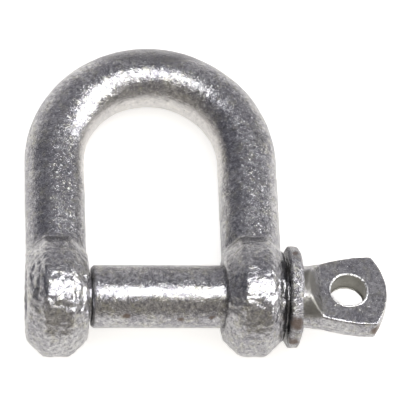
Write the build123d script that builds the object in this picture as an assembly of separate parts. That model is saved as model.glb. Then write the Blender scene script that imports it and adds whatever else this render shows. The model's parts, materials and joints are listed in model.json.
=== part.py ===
from build123d import *
import math
import os

# Screw-pin D shackle, galvanised, 10 mm bar with a 10 mm pin. All lengths are millimetres.
# It is drawn flat first, with the pin along +X, the legs along +Y and the face of the D towards +Z.
# LEAN then tips it about the pin, as it lies on a table: on the rims of both ears and on the crown.

# Bow: one round bar bent to a D, with an eye forged on each end.
BAR_RADIUS = 5.0
LEG_CENTRE_X = 16.2
CROWN_CENTRE_Y = 24.4
EAR_RADIUS = 9.9
EAR_THICKNESS = 10.1
EAR_FACE_RADIUS = 7.4
EAR_RIM_WIDTH = 4.2
EAR_EDGE_ROUND = 1.6
PLAIN_BORE_RADIUS = 5.6
BORE_CHAMFER = 0.5

# Screw pin: threaded end, shank, collar, neck and flattened eye.
SHANK_RADIUS = 5.2
SHANK_START_X = -10.7
SHANK_CHAMFER = 0.5
THREAD_START_X = -20.2
THREAD_RELIEF_X = -12.25
THREAD_TIP_CHAMFER = 0.8
COLLAR_GAP = 0.35
COLLAR_THICKNESS = 2.2
COLLAR_RADIUS = 8.35
COLLAR_ROUND = 0.7
COLLAR_FIT_GAP = 0.04
NECK_RADIUS = 5.1
FLARE_START_X = 25.0
FLARE_MIDDLE_X = 30.0
FLARE_MIDDLE_RADIUS = 6.25
EYE_CORNER_X = 36.0
EYE_CORNER_RADIUS = 6.9
EYE_END_X = 38.5
EYE_THICKNESS = 4.2
WEDGE_START_X = 24.1
WEDGE_START_HEIGHT = 6.1
WEDGE_END_X = 27.4
EYE_CENTRE_X = 31.9
EYE_RADIUS = 3.15
EYE_TURN = -8.0

# M10 coarse thread, cut loose on both sides so that it still runs after galvanising.
PITCH = 1.5
THREAD_MAJOR_RADIUS = 4.88
THREAD_MINOR_RADIUS = 3.97
THREAD_PLAY = 0.2
FLANK_PLAY = 0.11
RELIEF_RADIUS = 3.85
SLEEVE_RADIUS = 6.3
ROOT_OVERLAP = 0.12
PIN_CREST_WIDTH = 0.2
TAN_FLANK = math.tan(math.radians(30))
RIDGE_HEIGHT = THREAD_MAJOR_RADIUS - THREAD_MINOR_RADIUS + ROOT_OVERLAP
RIDGE_ROOT_WIDTH = PIN_CREST_WIDTH + 2 * RIDGE_HEIGHT * TAN_FLANK
PIN_WIDTH_AT_NUT_CREST = PIN_CREST_WIDTH + 2 * (RIDGE_HEIGHT - ROOT_OVERLAP - THREAD_PLAY) * TAN_FLANK
NUT_CREST_WIDTH = PITCH - PIN_WIDTH_AT_NUT_CREST - 2 * FLANK_PLAY
NUT_ROOT_WIDTH = NUT_CREST_WIDTH + 2 * RIDGE_HEIGHT * TAN_FLANK
THREAD_ORIGIN_X = -22.8
NUT_ORIGIN_X = THREAD_ORIGIN_X + PITCH / 2
THREAD_LENGTH = 13.5
EAR_OUTER_X = LEG_CENTRE_X + EAR_THICKNESS / 2
EAR_INNER_X = LEG_CENTRE_X - EAR_THICKNESS / 2
COLLAR_START_X = EAR_OUTER_X + COLLAR_GAP
COLLAR_END_X = COLLAR_START_X + COLLAR_THICKNESS
CROWN_HEIGHT = CROWN_CENTRE_Y + LEG_CENTRE_X
LEAN = math.degrees(math.asin((EAR_RADIUS - BAR_RADIUS) / CROWN_HEIGHT))

ALONG_PIN = Plane(origin=(0, 0, 0), x_dir=(1, 0, 0), z_dir=(0, -1, 0))


def turned(points):
    """A solid turned about the pin axis from (x, radius) points."""
    outline = Polyline(*points, close=True)
    face = make_face(ALONG_PIN * outline)
    return revolve(face, axis=Axis.X)


def helical_ridge(root_radius, crest_radius, root_width, crest_width, start_x):
    """A right-hand V ridge wound about the pin axis."""
    helix = Helix(pitch=PITCH, height=THREAD_LENGTH, radius=root_radius)
    section = Polyline(
        (root_radius, 0, -root_width / 2),
        (crest_radius, 0, -crest_width / 2),
        (crest_radius, 0, crest_width / 2),
        (root_radius, 0, root_width / 2),
        close=True,
    )
    ridge = sweep(make_face(section), path=helix, is_frenet=True)
    return Pos(start_x, 0, 0) * Rotation(0, 90, 0) * ridge


def ear(side):
    """One forged eye: a thick disc with coned faces and a rounded rim, centred on its leg."""
    half = EAR_THICKNESS / 2
    disc = turned([
        (-half, 0),
        (-half, EAR_FACE_RADIUS),
        (-EAR_RIM_WIDTH / 2, EAR_RADIUS),
        (EAR_RIM_WIDTH / 2, EAR_RADIUS),
        (half, EAR_FACE_RADIUS),
        (half, 0),
    ])
    disc = fillet(disc.edges().filter_by(GeomType.CIRCLE), EAR_EDGE_ROUND)
    return Pos(side * LEG_CENTRE_X, 0, 0) * disc


def bent_bar():
    """The round bar: leg, half-circle crown, leg."""
    left = Line((-LEG_CENTRE_X, 0, 0), (-LEG_CENTRE_X, CROWN_CENTRE_Y, 0))
    crown = ThreePointArc(left @ 1, (0, CROWN_HEIGHT, 0), (LEG_CENTRE_X, CROWN_CENTRE_Y, 0))
    right = Line(crown @ 1, (LEG_CENTRE_X, 0, 0))
    section = Plane(origin=left @ 0, z_dir=(0, 1, 0)) * Circle(BAR_RADIUS)
    return sweep(section, path=left + crown + right)


def plain_bore():
    """The drilled clearance hole in the right ear, chamfered at both mouths."""
    wide = PLAIN_BORE_RADIUS + BORE_CHAMFER
    return turned([
        (EAR_INNER_X - 1, 0),
        (EAR_INNER_X - 1, wide),
        (EAR_INNER_X, wide),
        (EAR_INNER_X + BORE_CHAMFER, PLAIN_BORE_RADIUS),
        (EAR_OUTER_X - BORE_CHAMFER, PLAIN_BORE_RADIUS),
        (EAR_OUTER_X, wide),
        (EAR_OUTER_X + 1, wide),
        (EAR_OUTER_X + 1, 0),
    ])


def threaded_sleeve():
    """The wall of the tapped hole: a tube with an inward ridge, cut to the ear and countersunk."""
    bore = THREAD_MAJOR_RADIUS + THREAD_PLAY
    crest = THREAD_MINOR_RADIUS + THREAD_PLAY
    tube = turned([
        (THREAD_ORIGIN_X, bore),
        (THREAD_ORIGIN_X, SLEEVE_RADIUS),
        (THREAD_ORIGIN_X + THREAD_LENGTH + PITCH, SLEEVE_RADIUS),
        (THREAD_ORIGIN_X + THREAD_LENGTH + PITCH, bore),
    ])
    ridge = helical_ridge(bore + ROOT_OVERLAP, crest, NUT_ROOT_WIDTH, NUT_CREST_WIDTH, NUT_ORIGIN_X)
    depth = bore + ROOT_OVERLAP - RELIEF_RADIUS
    envelope = turned([
        (-EAR_OUTER_X, SLEEVE_RADIUS + 1),
        (-EAR_OUTER_X, bore + ROOT_OVERLAP),
        (-EAR_OUTER_X + depth, RELIEF_RADIUS),
        (-EAR_INNER_X - depth, RELIEF_RADIUS),
        (-EAR_INNER_X, bore + ROOT_OVERLAP),
        (-EAR_INNER_X, SLEEVE_RADIUS + 1),
    ])
    return (tube + ridge) & envelope


def bow():
    """The whole forging, with its plain bore on the right and its tapped bore on the left."""
    blank = bent_bar() + ear(-1) + ear(1) - plain_bore()
    seat = Pos(-LEG_CENTRE_X, 0, 0) * Rotation(0, 90, 0) * Cylinder(SLEEVE_RADIUS, 2 * EAR_THICKNESS)
    return blank - seat + threaded_sleeve()


def threaded_end():
    """The pin's thread, with a chamfered tip, and the relief groove between it and the shank."""
    core = turned([
        (THREAD_ORIGIN_X, 0),
        (THREAD_ORIGIN_X, THREAD_MINOR_RADIUS),
        (SHANK_START_X + 1, THREAD_MINOR_RADIUS),
        (SHANK_START_X + 1, 0),
    ])
    root = THREAD_MINOR_RADIUS - ROOT_OVERLAP
    ridge = helical_ridge(root, THREAD_MAJOR_RADIUS, RIDGE_ROOT_WIDTH, PIN_CREST_WIDTH, THREAD_ORIGIN_X)
    clear_of_crest = THREAD_MAJOR_RADIUS + ROOT_OVERLAP
    envelope = turned([
        (THREAD_START_X, 0),
        (THREAD_START_X, THREAD_MAJOR_RADIUS - THREAD_TIP_CHAMFER),
        (THREAD_START_X + THREAD_TIP_CHAMFER, clear_of_crest),
        (THREAD_RELIEF_X, clear_of_crest),
        (THREAD_RELIEF_X + 1, RELIEF_RADIUS),
        (SHANK_START_X + 1, RELIEF_RADIUS),
        (SHANK_START_X + 1, 0),
    ])
    return (core + ridge) & envelope


def shank():
    """The plain shank, which runs on through the collar."""
    return turned([
        (SHANK_START_X, 0),
        (SHANK_START_X, SHANK_RADIUS - SHANK_CHAMFER),
        (SHANK_START_X + SHANK_CHAMFER, SHANK_RADIUS),
        (COLLAR_END_X, SHANK_RADIUS),
        (COLLAR_END_X, 0),
    ])


def eye():
    """The round neck, flared and flattened between two wedge faces, with its hole."""
    neck = Line((COLLAR_END_X - 1, NECK_RADIUS), (FLARE_START_X, NECK_RADIUS))
    flare = ThreePointArc(neck @ 1, (FLARE_MIDDLE_X, FLARE_MIDDLE_RADIUS), (EYE_CORNER_X, EYE_CORNER_RADIUS))
    whole_tip = ThreePointArc(flare @ 1, (EYE_END_X, 0), (EYE_CORNER_X, -EYE_CORNER_RADIUS))
    tip = whole_tip.trim(0, 0.5)
    base = Line((COLLAR_END_X - 1, 0), neck @ 0)
    middle = Line(tip @ 1, base @ 0)
    outline = make_face(ALONG_PIN * (base + neck + flare + tip + middle))
    bell = revolve(outline, axis=Axis.X)
    half = EYE_THICKNESS / 2
    side_view = Polyline(
        (COLLAR_END_X - 2, WEDGE_START_HEIGHT),
        (WEDGE_START_X, WEDGE_START_HEIGHT),
        (WEDGE_END_X, half),
        (EYE_END_X + 1, half),
        (EYE_END_X + 1, -half),
        (WEDGE_END_X, -half),
        (WEDGE_START_X, -WEDGE_START_HEIGHT),
        (COLLAR_END_X - 2, -WEDGE_START_HEIGHT),
        close=True,
    )
    wedge = extrude(make_face(ALONG_PIN * side_view), amount=2 * EYE_CORNER_RADIUS, both=True)
    hole = Pos(EYE_CENTRE_X, 0, 0) * Cylinder(EYE_RADIUS, 4 * EYE_THICKNESS)
    return Rotation(EYE_TURN, 0, 0) * ((bell & wedge) - hole)


def screw_pin():
    """Threaded end, shank, neck and eye, forged and cut in one piece."""
    return threaded_end() + shank() + eye()


def pin_collar():
    """The collar that seats on the right ear, with a rounded rim."""
    ring = turned([
        (COLLAR_START_X, SHANK_RADIUS + COLLAR_FIT_GAP),
        (COLLAR_START_X, COLLAR_RADIUS),
        (COLLAR_END_X, COLLAR_RADIUS),
        (COLLAR_END_X, SHANK_RADIUS + COLLAR_FIT_GAP),
    ])
    circles = ring.edges().filter_by(GeomType.CIRCLE)
    rim = circles.filter_by(lambda edge: edge.radius > COLLAR_RADIUS - 0.01)
    return fillet(rim, COLLAR_ROUND)


def write(shape, node):
    """Lay one piece down on its rims and write it."""
    export_step(Rotation(-LEAN, 0, 0) * shape, f"parts/{node}.step")


os.makedirs("parts", exist_ok=True)
write(bow(), "bow")
write(screw_pin(), "screw_pin")
write(pin_collar(), "pin_collar")
print(f"lean {LEAN:.3f} degrees, crown centre {CROWN_HEIGHT:.2f} mm from the pin axis")
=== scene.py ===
import json
import math
import bpy
from mathutils import Matrix, Vector


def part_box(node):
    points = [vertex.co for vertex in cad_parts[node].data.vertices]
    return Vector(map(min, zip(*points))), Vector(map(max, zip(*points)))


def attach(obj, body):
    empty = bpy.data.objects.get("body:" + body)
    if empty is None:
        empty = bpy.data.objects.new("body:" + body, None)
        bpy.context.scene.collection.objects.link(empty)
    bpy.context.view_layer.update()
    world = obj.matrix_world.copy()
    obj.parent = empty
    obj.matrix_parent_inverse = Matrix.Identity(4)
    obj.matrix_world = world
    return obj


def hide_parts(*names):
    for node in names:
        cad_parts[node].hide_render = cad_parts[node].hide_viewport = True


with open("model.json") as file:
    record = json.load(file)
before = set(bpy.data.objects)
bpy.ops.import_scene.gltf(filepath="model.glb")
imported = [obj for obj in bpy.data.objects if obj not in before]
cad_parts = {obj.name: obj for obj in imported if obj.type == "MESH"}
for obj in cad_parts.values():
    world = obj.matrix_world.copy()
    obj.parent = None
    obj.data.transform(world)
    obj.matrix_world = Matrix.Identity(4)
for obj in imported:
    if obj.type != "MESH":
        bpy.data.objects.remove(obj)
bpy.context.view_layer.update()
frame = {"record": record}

# %% [markdown]
# # A galvanised screw-pin shackle
# A shackle is a link that opens. A bar is bent to a D and an eye is forged on each end of it. A pin goes
# through both eyes: it slips through the plain one and screws into the tapped one. The whole thing is then
# dipped in molten zinc, which runs, pools and freezes, and leaves a bright skin full of small pits.
# The hard model is loaded first and never changed. It gives the sizes and places that the pieces share, and
# a size that only one piece has is named where that piece is made. The ears are wider than the bar, so the
# shackle leans a little: it rests on both ears and on its crown.

# %% Sizes read from the frame
record = frame["record"]
mounts = {mount["name"]: mount for mount in record["mounts"]}
MM = 0.001
bar_radius = mounts["crown_saddle"]["dims"]["r_mm"] * MM
shank_radius = mounts["pin_saddle"]["dims"]["r_mm"] * MM
hole_radius = mounts["lanyard_eye"]["dims"]["r_mm"] * MM
eye_thickness = mounts["lanyard_eye"]["dims"]["length_mm"] * MM
eye_x = mounts["lanyard_eye"]["pos_m"][0]
eye_normal = Vector(mounts["lanyard_eye"]["axis"])
ear_inner = mounts["pin_saddle"]["dims"]["length_mm"] * MM / 2
bow_low, bow_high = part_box("bow")
pin_low, pin_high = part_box("screw_pin")
collar_low, collar_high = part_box("pin_collar")
ear_radius = (bow_high.z - bow_low.z) / 2
ear_outer = bow_high.x
leg_x = (ear_inner + ear_outer) / 2
ear_thickness = ear_outer - ear_inner
crown_drop = ear_radius - bar_radius
crown_far = bow_high.y - bar_radius
lean = math.atan2(crown_drop, crown_far)
crown_y = math.hypot(crown_drop, crown_far) - leg_x
collar_radius = (collar_high.z - collar_low.z) / 2
pitch = 2 * math.pi / record["behaviour"]["couplings"][0]["ratio"]
print(f"bar radius {bar_radius / MM:.1f} mm, legs at {leg_x / MM:.2f} mm")
print(f"crown centre at {crown_y / MM:.2f} mm, lean {math.degrees(lean):.2f} degrees")


# %% [markdown]
# ## Handles for working by hand
# An operator acts on everything that is selected, and the hard model comes in selected. So nothing is done
# before everything is deselected, and faces and edges are picked in code by where they lie.

# %% Picking and finishing
def take(obj):
    """Make obj the one selected and active object."""
    if bpy.context.object and bpy.context.object.mode != "OBJECT":
        bpy.ops.object.mode_set(mode="OBJECT")
    bpy.ops.object.select_all(action="DESELECT")
    obj.select_set(True)
    bpy.context.view_layer.objects.active = obj
    return obj


def settle(name):
    """Name the primitive that was just added and put its place into its mesh."""
    obj = bpy.context.object
    obj.name = name
    bpy.ops.object.transform_apply(location=True, rotation=True, scale=True)
    return obj


def pick(obj, rule):
    """Go to edit mode with only the vertices selected whose place passes the rule."""
    bpy.ops.object.mode_set(mode="EDIT")
    bpy.ops.mesh.select_mode(type="VERT")
    bpy.ops.mesh.select_all(action="DESELECT")
    bpy.ops.object.mode_set(mode="OBJECT")
    for vertex in obj.data.vertices:
        vertex.select = rule(vertex.co)
    bpy.ops.object.mode_set(mode="EDIT")


def modify(obj, kind, **settings):
    """Add a modifier with its settings and apply it."""
    take(obj)
    modifier = obj.modifiers.new(kind.title(), kind)
    for key, value in settings.items():
        setattr(modifier, key, value)
    bpy.ops.object.modifier_apply(modifier=modifier.name)
    return obj


def cut(obj, tool, operation="DIFFERENCE"):
    """Cut obj with a tool, or unite them, and throw the tool away."""
    modify(obj, "BOOLEAN", object=tool, operation=operation, solver="MANIFOLD")
    bpy.data.objects.remove(tool)
    return obj


def turn(obj, rotation, place=(0, 0, 0)):
    """Turn a finished mesh about the origin, move it, and put both into the mesh."""
    take(obj)
    obj.rotation_euler = rotation
    obj.location = place
    bpy.ops.object.transform_apply(location=True, rotation=True, scale=True)
    return obj


def count(obj):
    """Say how many triangles a mesh has, and its lowest and highest corner."""
    triangles = sum(len(face.vertices) - 2 for face in obj.data.polygons)
    places = [vertex.co for vertex in obj.data.vertices]
    low = [round(min(place[axis] for place in places) / MM, 2) for axis in range(3)]
    high = [round(max(place[axis] for place in places) / MM, 2) for axis in range(3)]
    return f"{obj.name}: {triangles} triangles, {low} to {high} mm"


# %% [markdown]
# Everything round about the pin's axis is lathe work: a circle is drawn, pushed along the axis and scaled
# at each station. A list of stations, each a place along the axis and a radius there, is the whole profile.

# %% A hand lathe
def lathe(name, stations, segments=96):
    """Push a circle along X through (x, radius) stations and close both ends."""
    first_x, first_radius = stations[0]
    bpy.ops.object.select_all(action="DESELECT")
    bpy.ops.mesh.primitive_circle_add(
        vertices=segments, radius=first_radius, fill_type="NGON", rotation=(0, math.pi / 2, 0)
    )
    obj = settle(name)
    bpy.ops.object.mode_set(mode="EDIT")
    bpy.ops.mesh.select_all(action="SELECT")
    bpy.ops.transform.translate(value=(first_x, 0, 0))
    last_x, last_radius = first_x, first_radius
    for x, radius in stations[1:]:
        bpy.ops.mesh.extrude_region_move(TRANSFORM_OT_translate={"value": (x - last_x, 0, 0)})
        scale = radius / last_radius
        bpy.ops.transform.resize(value=(1, scale, scale), center_override=(x, 0, 0))
        last_x, last_radius = x, radius
    bpy.ops.mesh.select_all(action="SELECT")
    bpy.ops.mesh.normals_make_consistent(inside=False)
    bpy.ops.object.mode_set(mode="OBJECT")
    return obj


def rod(name, start, end, radius, segments=96):
    """A plain round bar along X, for cutting holes and flat seats."""
    return lathe(name, [(start, radius), (end, radius)], segments)


# %% [markdown]
# ## The lumps and dents of a forging
# A forging leaves the dies with soft dents, and the zinc freezes over it in small lumps and runs. Both are
# real shape, so they are pressed into the mesh with three sizes of cloud noise, from soft dents down to
# grit. Each cloud has its own size in metres, so the grit keeps its size on every piece. Where the dies
# have folded the skin, a vertex group asks for a fourth cloud of deeper wrinkles.

# %% Pressing the lumps in
def press(obj, name, size, depth, group=""):
    """Move the skin of obj in and out by a cloud of the given size, at most depth / 2 each way."""
    texture = bpy.data.textures.new(name, "CLOUDS")
    texture.noise_scale = size
    texture.noise_depth = 1
    texture.noise_basis = "ORIGINAL_PERLIN"
    return modify(
        obj, "DISPLACE", texture=texture, texture_coords="LOCAL",
        strength=depth, mid_level=0.5, vertex_group=group,
    )


def forge_skin(obj, roughly=1.0):
    """Dents, lumps and grit, roughly times as deep, and wrinkles where a vertex group asks for them."""
    if "wrinkled" in obj.vertex_groups:
        press(obj, "wrinkles", 1.0 * MM, 0.38 * MM, group="wrinkled")
    press(obj, "dents", 6.0 * MM, 0.16 * MM * roughly)
    press(obj, "lumps", 1.8 * MM, 0.10 * MM * roughly)
    press(obj, "grit", 0.6 * MM, 0.05 * MM * roughly)
    return obj


# %% [markdown]
# ## The bow
# The bar's section is a circle. It is pushed up one leg, spun half a turn about the crown's centre and
# pushed down the other leg, which is just how the hot bar is bent round a former.

# %% The bent bar
bpy.ops.object.select_all(action="DESELECT")
bpy.ops.mesh.primitive_circle_add(
    vertices=64, radius=bar_radius, fill_type="NGON", location=(-leg_x, 0, 0), rotation=(-math.pi / 2, 0, 0)
)
bow = settle("bow_forging")
bpy.ops.object.mode_set(mode="EDIT")
bpy.ops.mesh.select_all(action="SELECT")
bpy.ops.mesh.extrude_region_move(TRANSFORM_OT_translate={"value": (0, crown_y, 0)})
bpy.ops.mesh.spin(steps=60, angle=math.pi, center=(0, crown_y, 0), axis=(0, 0, 1))
bpy.ops.mesh.extrude_region_move(TRANSFORM_OT_translate={"value": (0, -crown_y, 0)})
bpy.ops.mesh.select_all(action="SELECT")
bpy.ops.mesh.remove_doubles(threshold=0.001 * MM)
bpy.ops.mesh.normals_make_consistent(inside=False)
bpy.ops.object.mode_set(mode="OBJECT")
print(count(bow))

# %% [markdown]
# Each ear is forged between dies that meet at its rim, so it has a narrow flat rim, a coned face on each
# side and a flat boss round the hole. It is lathe work about the pin's axis.

# %% The ears
half_rim = 2.1 * MM
boss_radius = 7.4 * MM
boss_bevel = 0.7 * MM
boss_step = 0.25 * MM
half_ear = ear_thickness / 2
for side in (-1, 1):
    middle = side * leg_x
    ear = lathe("ear", [
        (middle - half_ear, boss_radius - boss_bevel),
        (middle - half_ear + boss_step, boss_radius),
        (middle - half_rim, ear_radius),
        (middle + half_rim, ear_radius),
        (middle + half_ear - boss_step, boss_radius),
        (middle + half_ear, boss_radius - boss_bevel),
    ])
    cut(bow, ear, "UNION")
print(count(bow))

# %% [markdown]
# A voxel remesh turns the sharp union into one even skin. Smoothing then draws metal into the corner
# between ear and leg, as the forging dies do, and rounds every edge. The dents and grit come last. The
# ears are worked the most, so they are wrinkled, and the wrinkles fade out up the legs.

# %% One skin
def one_skin(obj, voxel, passes):
    """Turn joined solids into one even skin with rounded edges and corners."""
    modify(obj, "REMESH", mode="VOXEL", voxel_size=voxel, use_smooth_shade=True)
    return modify(obj, "SMOOTH", factor=0.5, iterations=passes)


one_skin(bow, 0.27 * MM, 10)
wrinkle_end = ear_radius + 2 * MM
wrinkle_fade = 6 * MM
wrinkled = bow.vertex_groups.new(name="wrinkled")
for vertex in bow.data.vertices:
    weight = max(0.0, min(1.0, (wrinkle_end - vertex.co.y) / wrinkle_fade))
    wrinkled.add([vertex.index], weight, "REPLACE")
forge_skin(bow)
print(count(bow))


# %% [markdown]
# A thread is a ridge that climbs one pitch a turn. A section that is narrow at its crest is drawn beside the
# axis, the Screw modifier winds it up, and the ends are closed. The same tool is meant for both threads: one
# ridge is united with the pin's core, and one cuts the left ear as a real tap does. It has a fault.
# primitive_plane_add takes no notice of its scale, so the section is a metre wide and not a millimetre, and
# no thread comes out: the pin's end keeps two fins, and the ear keeps a plain hole. A resize of the plane
# before it is wound up would be the first thing to try.

# %% A ridge for both threads
STEPS_PER_TURN = 40


def ridge(name, start_x, turns, root, crest, root_width, crest_width):
    """Meant as a right-hand ridge about X, from radius root out to radius crest. See the fault above."""
    bpy.ops.object.select_all(action="DESELECT")
    middle = (root + crest) / 2
    bpy.ops.mesh.primitive_plane_add(
        size=1, location=(middle, 0, 0), rotation=(math.pi / 2, 0, 0), scale=(crest - root, root_width, 1)
    )
    obj = settle(name)
    pick(obj, lambda place: place.x > middle)
    bpy.ops.transform.resize(value=(1, 1, crest_width / root_width), center_override=(crest, 0, 0))
    bpy.ops.object.mode_set(mode="OBJECT")
    modify(
        obj, "SCREW", angle=turns * 2 * math.pi, screw_offset=turns * pitch, iterations=1,
        steps=turns * STEPS_PER_TURN, render_steps=turns * STEPS_PER_TURN,
        use_normal_calculate=True, use_merge_vertices=False,
    )
    bpy.ops.object.mode_set(mode="EDIT")
    bpy.ops.mesh.select_all(action="SELECT")
    bpy.ops.mesh.remove_doubles(threshold=0.001 * MM)
    bpy.ops.mesh.select_all(action="DESELECT")
    bpy.ops.mesh.select_mode(type="EDGE")
    bpy.ops.mesh.select_non_manifold()
    bpy.ops.mesh.edge_face_add()
    bpy.ops.mesh.select_all(action="SELECT")
    bpy.ops.mesh.normals_make_consistent(inside=False)
    bpy.ops.object.mode_set(mode="OBJECT")
    return turn(obj, (0, math.pi / 2, 0), (start_x, 0, 0))


# %% [markdown]
# The ears are then machined. The right ear is faced flat on the outside, so that the collar seats on it, and
# drilled with room for the shank. The left ear is drilled, and the tap that follows cuts no thread, for the
# reason given above. Both threads are counted from one place on the axis, to put ridge and groove in step.

# %% The holes in the ears
thread_origin = -22.8 * MM
nut_crest = 4.17 * MM
nut_root = 5.08 * MM
tap_buried = 0.3 * MM
tap_root_width = 1.55 * MM
tap_crest_width = 0.42 * MM


def bored(obj, x, radius, depth, chamfer=0.5 * MM):
    """Drill a hole along X through obj at x, with a chamfer at both mouths."""
    reach = depth / 2
    drill = lathe("drill", [
        (x - reach - chamfer, radius + 2 * chamfer),
        (x - reach + chamfer, radius),
        (x + reach - chamfer, radius),
        (x + reach + chamfer, radius + 2 * chamfer),
    ])
    return cut(obj, drill)


def tapped(obj, x, depth, chamfer=0.5 * MM):
    """Drill a hole along X for the crests, then run the tap that should cut the grooves.

    The tap starts one to two pitches before the hole, a whole number of pitches from thread_origin.
    """
    bored(obj, x, nut_crest, depth, chamfer)
    turns = math.ceil(depth / pitch) + 2
    start = thread_origin + math.ceil((x - depth / 2 - thread_origin) / pitch - 2) * pitch
    tap = ridge("tap", start, turns, nut_crest - tap_buried, nut_root, tap_root_width, tap_crest_width)
    return cut(obj, tap)


bore_radius = 5.6 * MM
seat_radius = 9.5 * MM
cutter_depth = 2 * MM
cut(bow, rod("facing_cut", ear_outer, ear_outer + cutter_depth, seat_radius))
bored(bow, leg_x, bore_radius, ear_thickness)
tapped(bow, -leg_x, ear_thickness)
turn(bow, (-lean, 0, 0))
print(count(bow))

# %% [markdown]
# ## The screw pin
# The pin is forged as one bar with a flattened end, then turned and threaded, then dipped. The shank, neck
# and flared end are lathe work. A list of places and radii in millimetres gives the flare its curve.

# %% Shank, neck and flared end
thread_length = 9.5 * MM
neck_radius = 5.1 * MM
bevel = 0.5 * MM
flare = (
    (24.9, 5.1), (27.0, 5.42), (29.0, 5.95), (31.0, 6.4), (33.0, 6.7), (35.0, 6.85),
    (36.1, 6.85), (36.9, 5.6), (37.6, 4.2), (38.2, 2.4),
)
shank_start = pin_low.x + thread_length
collar_start = collar_low.x
collar_end = collar_high.x
shank_end = collar_end - 0.4 * MM
neck_start = collar_end + 0.2 * MM
pin = lathe("pin_forging", [
    (shank_start, shank_radius - bevel),
    (shank_start + bevel, shank_radius),
    (shank_end, shank_radius),
    (neck_start, neck_radius),
    *((x * MM, radius * MM) for x, radius in flare),
    (pin_high.x, 0.5 * MM),
])
print(count(pin))

# %% [markdown]
# The flared end is pressed flat from both sides. Each tool is a block that stops at the eye's face, and its
# inner back edge is pushed forward, so that it is a wedge and leaves a slope between the neck and the flat.

# %% Pressed flat by two wedges
half_eye = eye_thickness / 2
wedge_back, wedge_tip, wedge_end = 19.2 * MM, 27.4 * MM, 45 * MM
wedge_top, wedge_width = 12 * MM, 20 * MM
for side in (-1, 1):
    bpy.ops.object.select_all(action="DESELECT")
    bpy.ops.mesh.primitive_cube_add(
        size=1,
        location=((wedge_back + wedge_end) / 2, 0, side * (half_eye + wedge_top) / 2),
        scale=(wedge_end - wedge_back, wedge_width, wedge_top - half_eye),
    )
    press_tool = settle("press_tool")
    pick(press_tool, lambda place: place.x < wedge_tip and abs(place.z) < wedge_top / 2)
    bpy.ops.transform.translate(value=(wedge_tip - wedge_back, 0, 0))
    bpy.ops.object.mode_set(mode="OBJECT")
    cut(pin, press_tool)
print(count(pin))
one_skin(pin, 0.2 * MM, 4)
forge_skin(pin, 0.8)
print(count(pin))

# %% [markdown]
# The hole is punched clean through. Zinc hangs in its mouths and freezes there as a thin uneven bead, so a
# ring that sinks half into the face is pressed out of shape and united with the eye, one on each side.

# %% The hole and its two beads
bead_radius = 0.2 * MM
punch_reach = half_eye + 1.0 * MM
punch = rod("punch", -punch_reach, punch_reach, hole_radius, 128)
cut(pin, turn(punch, (0, math.pi / 2, 0), (eye_x, 0, 0)))
for side in (-1, 1):
    bpy.ops.object.select_all(action="DESELECT")
    bpy.ops.mesh.primitive_torus_add(
        major_segments=120, minor_segments=14, major_radius=hole_radius, minor_radius=bead_radius,
        location=(eye_x, 0, side * half_eye),
    )
    bead_ring = settle("bead_ring")
    press(bead_ring, "uneven", 0.7 * MM, 0.22 * MM)
    cut(pin, bead_ring, "UNION")
print(count(pin))

# %% [markdown]
# The threaded end is a core with what the ridge leaves on it, trimmed by a lathe shape that gives it a
# bevelled tip and a relief groove. The pin is then turned to the angle of its eye.

# %% The threaded end
root = 3.97 * MM
crest = 4.88 * MM
coil_turns = 9
coil_buried = 0.12 * MM
coil_root_width = 1.39 * MM
coil_crest_width = 0.2 * MM
core_end = shank_start + 0.8 * MM
thread = lathe("thread_core", [
    (pin_low.x, root - bevel),
    (pin_low.x + bevel, root),
    (core_end, root),
])
coil = ridge("coil", thread_origin, coil_turns, root - coil_buried, crest, coil_root_width, coil_crest_width)
cut(thread, coil, "UNION")
above_crest = crest + 0.15 * MM
tip_radius = crest - 0.8 * MM
tip_bevel = 0.95 * MM
thread_end, relief_start = -12.25 * MM, -11.25 * MM
relief_radius = 3.85 * MM
envelope = lathe("envelope", [
    (pin_low.x, tip_radius),
    (pin_low.x + tip_bevel, above_crest),
    (thread_end, above_crest),
    (relief_start, relief_radius),
    (shank_start + 1 * MM, relief_radius),
])
cut(thread, envelope, "INTERSECT")
print(count(thread))
cut(pin, thread, "UNION")
eye_turn = math.radians(-8.0)
turn(pin, (eye_turn - lean, 0, 0))
print(count(pin))

# %% [markdown]
# ## The collar
# The collar is upset on the pin while it is hot, so its rim is rounded and uneven, and scale leaves it the
# roughest part of all. Its inner face is cut flat, to seat on the ear, and its bore clears the shank.

# %% The collar
bore_clearance = 0.14 * MM
past_end = 1 * MM
facing_radius = 10 * MM
collar = lathe("collar_ring", [
    (collar_start, collar_radius - 0.5 * MM),
    (collar_start + 0.35 * MM, collar_radius),
    (collar_end - 0.45 * MM, collar_radius),
    (collar_end, collar_radius - 0.6 * MM),
])
one_skin(collar, 0.16 * MM, 4)
forge_skin(collar, 2.6)
press(collar, "scale", 0.42 * MM, 0.20 * MM)
cut(collar, rod("inside", collar_start - past_end, collar_end + past_end, shank_radius + bore_clearance))
cut(collar, rod("facing_cut", collar_start - cutter_depth, collar_start, facing_radius))
turn(collar, (-lean, 0, 0))
print(count(collar))


# %% [markdown]
# ## Materials
# A material is a sum of patterns, so it is written as one. This small class wraps a socket, so that
# ordinary arithmetic on two sockets adds the Math nodes, and one method adds any other node.

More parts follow.
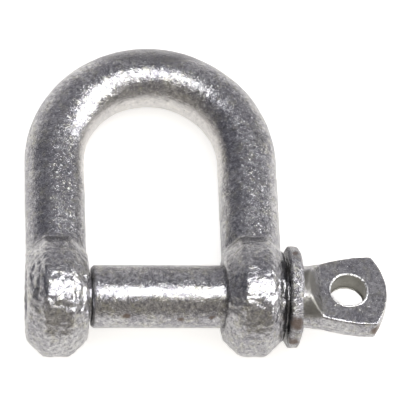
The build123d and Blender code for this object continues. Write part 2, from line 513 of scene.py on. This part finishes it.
# %% Sums of sockets
class Wire:
    """One output socket that adds, multiplies and compares like a number."""

    def __init__(self, tree, socket=None):
        self.tree = tree
        self.socket = socket

    def add(self, kind, settings, inputs, output=0):
        """Add a node: its settings first, then each input from a number or another wire."""
        node = self.tree.nodes.new(kind)
        for name, value in settings.items():
            setattr(node, name, value)
        for name, value in inputs.items():
            if isinstance(value, Wire):
                self.tree.links.new(value.socket, node.inputs[name])
            else:
                node.inputs[name].default_value = value
        return Wire(self.tree, node.outputs[output] if node.outputs else None)

    def math(self, operation, first, second):
        """A Math node on two numbers or wires."""
        return self.add("ShaderNodeMath", {"operation": operation}, {0: first, 1: second})

    def alone(self, operation):
        """A Math node on this wire alone, such as a sine."""
        return self.add("ShaderNodeMath", {"operation": operation}, {0: self})

    def vector(self, operation, other=None, output=0):
        """A Vector Math node. Its output 1 is the number that a length, distance or dot product gives."""
        inputs = {0: self} if other is None else {0: self, 1: other}
        return self.add("ShaderNodeVectorMath", {"operation": operation}, inputs, output)

    def part(self, axis):
        """The x, y or z of a vector wire, for axis 0, 1 or 2."""
        return self.add("ShaderNodeSeparateXYZ", {}, {0: self}, axis)

    def __add__(self, other):
        return self.math("ADD", self, other)

    def __radd__(self, other):
        return self.math("ADD", other, self)

    def __sub__(self, other):
        return self.math("SUBTRACT", self, other)

    def __rsub__(self, other):
        return self.math("SUBTRACT", other, self)

    def __mul__(self, other):
        return self.math("MULTIPLY", self, other)

    def __rmul__(self, other):
        return self.math("MULTIPLY", other, self)

    def over(self, low, high):
        """A soft step from 0 at low to 1 at high."""
        settings = {"interpolation_type": "SMOOTHSTEP"}
        return self.add("ShaderNodeMapRange", settings, {"Value": self, "From Min": low, "From Max": high})

    def noise(self, size, detail=3.0, rough=0.55, shift=0.0):
        """Cloud noise with features of about size millimetres, on a point wire in millimetres."""
        point = self.vector("ADD", (shift, shift, shift))
        return self.add("ShaderNodeTexNoise", {}, {
            "Vector": point, "Scale": 1 / size, "Detail": detail, "Roughness": rough,
        })

    def cells(self, size):
        """Distance to the nearest of scattered points about size millimetres apart."""
        return self.add("ShaderNodeTexVoronoi", {"feature": "F1"}, {"Vector": self, "Scale": 1 / size})

    def blend(self, amount, colour):
        """Turn this colour into another one by amount."""
        settings = {"data_type": "RGBA", "clamp_factor": True}
        return self.add("ShaderNodeMix", settings, {0: amount, 6: self, 7: colour}, 2)


def rgb(wire, red, green, blue):
    """A plain colour as a wire."""
    return wire.add("ShaderNodeCombineColor", {}, {0: red, 1: green, 2: blue})


def begin(name):
    """A new material with an empty tree: its tree wire and the point on the object in millimetres."""
    material = bpy.data.materials.new(name)
    material.use_nodes = True
    material.node_tree.nodes.clear()
    tree = Wire(material.node_tree)
    place = tree.add("ShaderNodeTexCoord", {}, {}, 3)
    point = tree.add("ShaderNodeVectorMath", {"operation": "SCALE"}, {0: place, "Scale": 1000.0})
    return material, tree, point


def finish(tree, **inputs):
    """The Principled shader, with an underscore for each space in a socket's name, and the output."""
    sockets = {name.replace("_", " "): value for name, value in inputs.items()}
    shader = tree.add("ShaderNodeBsdfPrincipled", {}, sockets)
    tree.add("ShaderNodeOutputMaterial", {"target": "ALL"}, {"Surface": shader})


# %% [markdown]
# Two masks say where the metal differs. A stain, or a patch of painted light or shade, fills the inside of a
# ball, and noise added to the distance from its centre makes the edge ragged. A hole needs its wall, where
# shade is painted, and the bead of zinc round its mouths, where a highlight is painted.

# %% Where the metal differs
def stain_or_painted_light(places, shade, amount, rougher=0.0, bare=0.0):
    """A stain, or a patch of painted light or shade: balls of (x, y, z, reach) in millimetres, their colour,
    and how much rougher and less metallic.
    """
    return places, shade, amount, rougher, bare


def spots(point, places):
    """A soft mask round each (x, y, z, reach) place, in millimetres, with a ragged edge."""
    ragged = 1.8 * point.noise(0.7, 4.0, 0.7, 11.0)
    mask = None
    for x, y, z, reach in places:
        away = point.vector("DISTANCE", (x, y, z), 1) + ragged
        softness = min(0.5 * reach, 1.4)
        spot = 1.0 - away.over(reach - softness + 0.8, reach + 1.0)
        mask = spot if mask is None else point.math("MAXIMUM", mask, spot)
    return mask


def round_hole(point, centre, axis, radius, depth):
    """Masks for a hole's wall, where shade is painted, and for the bead round its two mouths, where a
    highlight is painted, and the place along its axis, in millimetres.
    """
    arm = point.vector("SUBTRACT", centre)
    away = arm.vector("CROSS_PRODUCT", axis).vector("LENGTH", output=1)
    along = arm.vector("DOT_PRODUCT", axis, 1)
    wall = 1.0 - away.over(radius + 0.02, radius + 0.12)
    at_mouth = along.alone("ABSOLUTE").over(depth / 2 - 0.12, depth / 2 - 0.02)
    bead = (1.0 - away.over(radius + 0.12, radius + 0.2)) * at_mouth
    return wall, bead, along


# %% [markdown]
# Zinc straight from the bath is a bright grey metal. It dulls in cloudy patches where the alloy layer
# has grown through, and it is full of fine pits and grains that each catch the light. So the colour is a
# base with one tint laid over another, each with its own mask, from patches of 5 mm down to grains of
# 0.15 mm. The same patterns drive the roughness and the bump, so that a grain shows in all three.

# %% Galvanised zinc
def zinc(name, stains_and_painted_light=(), hole=None, grit=1.0):
    """Bright metal with dull patches, pits and grain, then the hole's wall with painted shade and its bead
    with a painted highlight, then the stains and the patches of painted light and shade.
    """
    material, tree, point = begin(name)
    patches = point.noise(5.0, 4.0, 0.62).over(0.36, 0.64)
    clouds = point.noise(1.5, 4.0, 0.65, 31.0)
    mottle = point.noise(0.7, 4.0, 0.7, 17.0)
    grain = point.noise(0.34, 3.0, 0.7, 7.0)
    fine = point.noise(0.15, 2.0, 0.6, 3.0)
    pits = (1.0 - point.cells(1.3).over(0.06, 0.20)) * point.noise(2.2, 2.0, 0.5, 90.0).over(0.45, 0.6)
    colour = rgb(tree, 0.40, 0.395, 0.40)
    tints = {
        "alloy patches": (patches, (0.25, 0.245, 0.265)),
        "warm haze": (clouds.over(0.48, 0.66) * 0.7, (0.35, 0.34, 0.285)),
        "dark mottle": (mottle.over(0.50, 0.62) * 0.75, (0.13, 0.127, 0.14)),
        "bright mottle": ((1.0 - mottle.over(0.34, 0.46)) * 0.6, (0.64, 0.64, 0.63)),
        "dark grains": (grain.over(0.50, 0.60) * 0.5, (0.12, 0.118, 0.135)),
        "bright grains": (fine.over(0.54, 0.62) * 0.4, (0.66, 0.655, 0.65)),
    }
    for mask, shade in tints.values():
        colour = colour.blend(mask, rgb(tree, *shade))
    rough = 0.15 + 0.05 * patches + 0.08 * clouds + 0.12 * pits + 0.05 * mottle
    height = 0.03 * clouds + 0.03 * mottle + grit * 0.052 * grain + grit * 0.028 * fine - 0.06 * pits
    metallic = 1.0 - 0.3 * mottle.over(0.60, 0.75)
    if hole:
        wall, bead, along = round_hole(point, *hole)
        rings = (along * 15.0 + 2.0 * clouds).alone("SINE")
        # Painted shade: the wall inside the hole is painted dark olive, and it is also made rougher.
        colour = colour.blend(wall * 0.8, rgb(tree, 0.17, 0.165, 0.135))
        # Painted highlight: the bead of zinc is real, and its grains are painted near white.
        colour = colour.blend(bead * grain.over(0.38, 0.56), rgb(tree, 0.92, 0.92, 0.92))
        rough = rough + 0.15 * wall
        height = height + 0.012 * rings * wall
    for places, shade, amount, rougher, bare in stains_and_painted_light:
        # Stains and rust are laid over the colour here, and so are the patches of painted reflection and
        # painted shade.
        mask = amount * spots(point, places) * (1.0 - 0.5 * mottle)
        colour = colour.blend(mask, rgb(tree, *shade))
        rough = rough + rougher * mask
        metallic = metallic * (1.0 - bare * mask)
    normal = tree.add("ShaderNodeBump", {}, {"Height": height, "Distance": 0.001, "Strength": 1.0})
    finish(tree, Base_Color=colour, Metallic=metallic, Roughness=rough, Normal=normal)
    return material


# %% [markdown]
# The inside of the bow's crown is painted pale, a painted reflection of the white sheet, and the outside is
# painted dark, a painted shade: a ball round the crown's centre and a big one beyond the crown make both.
# The neck is darkened by dirt and by painted shade, and where the coat is thin, on the rim of the collar, a
# corner of the eye and a few points of the shank, rust has come through.

# %% The three metals
crown_middle = (0.0, crown_y / MM * math.cos(lean), -crown_y / MM * math.sin(lean))
beyond_crown = (0.0, crown_middle[1] + 60.0, -3.0)
# Painted reflection: the inside of the crown is painted pale, as if it showed the white sheet.
painted_reflection_inside_crown = stain_or_painted_light([(*crown_middle, 13.2)], (0.66, 0.64, 0.615), 0.85)
# Painted shade: the top of the crown's outside is painted dark.
painted_shade_outside_crown = stain_or_painted_light([(*beyond_crown, 43.6)], (0.13, 0.127, 0.135), 0.85, rougher=0.05)
# The neck is painted darker: partly dirt, partly painted shade in the hollow between collar and eye.
grime_and_painted_shade = stain_or_painted_light([(25.6, 1.5, 5.0, 3.2), (25.6, -3.0, 4.0, 2.6)], (0.13, 0.125, 0.11), 1.1, rougher=0.35)
rust = {"shade": (0.10, 0.062, 0.04), "amount": 1.1, "rougher": 0.3, "bare": 0.75}
pin_rust = stain_or_painted_light(
    [(36.6, -6.5, 2.2, 1.6), (-5.0, -4.2, 3.0, 0.7), (4.0, -4.6, 2.4, 0.6), (9.0, -4.4, 2.7, 0.5)], **rust
)
collar_rust = stain_or_painted_light([(22.6, -6.2, 5.4, 1.6), (22.4, -8.2, 1.6, 1.2), (22.6, 5.6, 6.2, 0.7)], **rust)
eye_hole = ((eye_x / MM, 0.0, 0.0), tuple(eye_normal), hole_radius / MM, eye_thickness / MM)
bow_zinc = zinc("bow_zinc", [painted_reflection_inside_crown, painted_shade_outside_crown])
pin_zinc = zinc("pin_zinc", [grime_and_painted_shade, pin_rust], eye_hole)
collar_zinc = zinc("collar_zinc", [collar_rust], grit=4.0)
for obj, metal in ((bow, bow_zinc), (pin, pin_zinc), (collar, collar_zinc)):
    obj.data.materials.clear()
    obj.data.materials.append(metal)
    take(obj)
    bpy.ops.object.shade_smooth_by_angle(angle=math.radians(40))
    print(f"{metal.name}: {len(metal.node_tree.nodes)} nodes")

# %% [markdown]
# ## What moves with what
# The bow stays still, the collar slides with the pin's carriage, and the pin slides and turns. Each piece
# takes the place of one plain solid of the hard model.

# %% Pieces on their bodies
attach(bow, "bow")
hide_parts("bow")
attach(pin, "pin")
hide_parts("screw_pin")
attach(collar, "pin_carriage")
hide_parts("pin_collar")

# %% [markdown]
# ## Floor, light and camera
# Bare metal has little colour of its own and shows what is round it. The shackle lies on a white sheet, in a
# room that is darker than the sheet: the flanks show the sheet, and the top shows the dim room.

# %% Floor
floor_z = bow_low.z - 0.05 * MM
bpy.ops.object.select_all(action="DESELECT")
bpy.ops.mesh.primitive_plane_add(size=3.0, location=(0, 0, floor_z))
floor = bpy.context.object
floor.name = "floor"
floor_material, tree, point = begin("white_sheet")
shade = point.noise(60.0, 2.0, 0.5)
sheet = rgb(tree, 0.89, 0.88, 0.86).blend(shade, rgb(tree, 0.91, 0.90, 0.88))
finish(tree, Base_Color=sheet, Roughness=0.6 + 0.1 * shade, Emission_Color=sheet, Emission_Strength=0.62)
floor.data.materials.append(floor_material)
print(f"floor at {floor_z / MM:.2f} mm")

# %% [markdown]
# The room is dim and blotchy. It is brighter to the right, at the front, where it is warm, and at the back.
# Three lamps stand in it. A large one only lights, and never shows as a reflection. Two small ones only
# glint: one nearly overhead for the stripes along bar and pin, and one on the right for the pin's end.

# %% The room
world = bpy.data.worlds.new("room")
bpy.context.scene.world = world
world.use_nodes = True
sky = Wire(world.node_tree)
way = sky.add("ShaderNodeTexCoord", {}, {}, 0)
right = way.part(0).over(-0.75, 0.55)
front = 1.0 - way.part(1).over(-0.65, 0.15)
back = way.part(1).over(0.48, 0.72)
walls = way.noise(0.22, 3.0, 0.65, 4.0).over(0.25, 0.75) * (0.4 + 0.6 * right)
room = rgb(sky, 0.15, 0.155, 0.20).blend(walls, rgb(sky, 0.50, 0.49, 0.51))
room = room.blend(0.85 * front, rgb(sky, 0.58, 0.545, 0.49)).blend(0.9 * back, rgb(sky, 0.66, 0.65, 0.68))
backdrop = sky.add("ShaderNodeBackground", {}, {"Color": room, "Strength": 1.0})
output = world.node_tree.nodes["World Output"]
world.node_tree.links.new(backdrop.socket, output.inputs["Surface"])
print(f"room: {len(world.node_tree.nodes)} nodes")


# %% Three lamps
def lamp(name, place, width, height, power, glossy=True, diffuse=True):
    """A rectangular lamp in metres and watts, aimed at the shackle."""
    data = bpy.data.lights.new(name, "AREA")
    data.shape = "RECTANGLE"
    data.size = width
    data.size_y = height
    data.energy = power
    obj = bpy.data.objects.new(name, data)
    bpy.context.collection.objects.link(obj)
    obj.location = place
    obj.rotation_euler = (aim - Vector(place)).to_track_quat("-Z", "X").to_euler()
    obj.visible_glossy = glossy
    obj.visible_diffuse = diffuse
    print(f"{name}: {power} W at {(aim - Vector(place)).length:.2f} m")


aim = Vector((0.004, 0.012, 0))
lamp("wash", (-0.1, 0.1, 1.4), 3.0, 3.0, 25, glossy=False)
lamp("key", (0.075, 0.023, 0.645), 0.36, 0.12, 2.9, diffuse=False)
lamp("side", (0.48, 0.0, 0.32), 0.36, 0.16, 3.4, diffuse=False)
bpy.context.scene.view_settings.view_transform = "Standard"

# %% [markdown]
# The camera is half a metre away with a long lens, so the legs look nearly parallel. Its turn and its place
# are given as if the bow's plane lay flat, and both are then leaned over with the bow.

# %% Camera
camera_data = bpy.data.cameras.new("camera")
camera_data.sensor_width = 36
camera_data.lens = 270.13
camera_data.clip_start = 0.01
camera = bpy.data.objects.new("camera", camera_data)
bpy.context.collection.objects.link(camera)
look = Matrix(((0.9951, -0.0379, 0.0918), (0.0052, -0.9033, -0.4290), (0.0992, 0.4273, -0.8986)))
from_camera = Vector((-7.386, 15.899, 494.059))
flat_place = -(look.transposed() @ from_camera) * MM
facing = look.transposed() @ Matrix(((1, 0, 0), (0, -1, 0), (0, 0, -1)))
tilt = Matrix.Rotation(-lean, 3, "X")
camera.matrix_world = Matrix.Translation(tilt @ flat_place) @ (tilt @ facing).to_4x4()
bpy.context.scene.camera = camera
turned = [round(math.degrees(angle), 2) for angle in camera.rotation_euler]
print(f"camera at {[round(a / MM) for a in camera.location]} mm, turned {turned} degrees")
